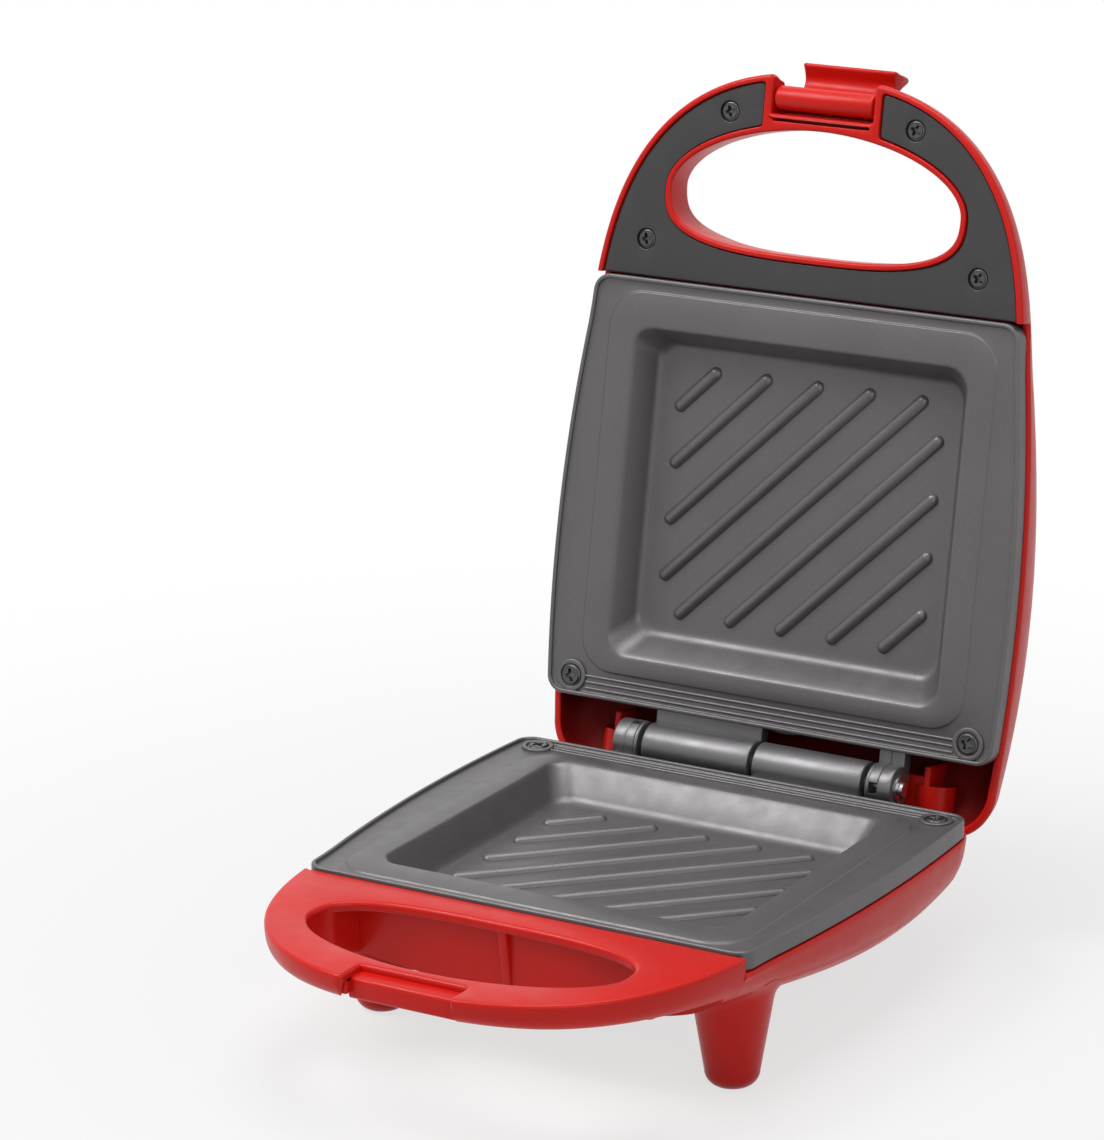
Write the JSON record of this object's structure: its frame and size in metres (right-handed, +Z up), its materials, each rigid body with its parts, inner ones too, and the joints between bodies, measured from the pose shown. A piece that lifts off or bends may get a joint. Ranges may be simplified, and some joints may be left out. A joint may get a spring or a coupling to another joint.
{
  "type": "sandwich toaster",
  "caption": "Open red sandwich toaster: two hinged moulded casings with dark cast ribbed plates, looped handles, a swinging latch and short legs.",
  "frame": {"origin": "middle of the footprint of the open toaster, on the surface its feet stand on", "axes": "+Z up, -Y towards the base's handle, X along the hinge"},
  "size_m": [0.1404, 0.2419, 0.2264],
  "materials": {
    "red_plastic": "glossy",
    "red_lens": "glossy",
    "black_plastic": "satin",
    "pale_plastic": "matte",
    "coated_casting": "satin non-stick coating",
    "black_steel": "satin black",
    "bright_steel": "bright",
    "sheet_metal": "plain sheet"
  },
  "bodies": {
    "base": {"base_casing": "red_plastic", "front_legs": "red_plastic", "rear_legs": "red_plastic", "leg_screws": "bright_steel", "lower_plate": "coated_casting", "lower_plate_screws": "black_steel", "lower_element": "bright_steel", "lower_clamp": "bright_steel", "lower_clamp_screws": "bright_steel", "lower_heat_shield": "sheet_metal", "thermostat": "sheet_metal", "thermal_fuse": "bright_steel", "terminal_block": "pale_plastic", "base_leads": "pale_plastic", "cord_inlet": "black_plastic", "hinge_pin": "bright_steel", "hinge_pin_clip": "bright_steel"},
    "lid": {"lid_casing": "red_plastic", "handle_cover": "black_plastic", "cover_screws": "black_steel", "upper_plate": "coated_casting", "upper_plate_screws": "black_steel", "upper_element": "bright_steel", "upper_clamp": "bright_steel", "upper_clamp_screws": "bright_steel", "upper_heat_shield": "sheet_metal", "indicator_bezel": "red_plastic", "indicator_lens": "red_lens", "indicator_lamp": "pale_plastic", "storage_studs": "red_plastic", "latch_pin": "bright_steel"},
    "latch": {"latch": "red_plastic"}
  },
  "joints": [
    {"name": "lid_hinge", "type": "hinge", "parent": "base", "child": "lid", "pos_m": [0, 0.06488, 0.0426], "axis": [1, 0, 0], "range_deg": [0, 100.3]},
    {"name": "latch_pivot", "type": "hinge", "parent": "lid", "child": "latch", "pos_m": [0, 0.10144, 0.2186], "axis": [1, 0, 0], "range_deg": [0, 145]}
  ]
}
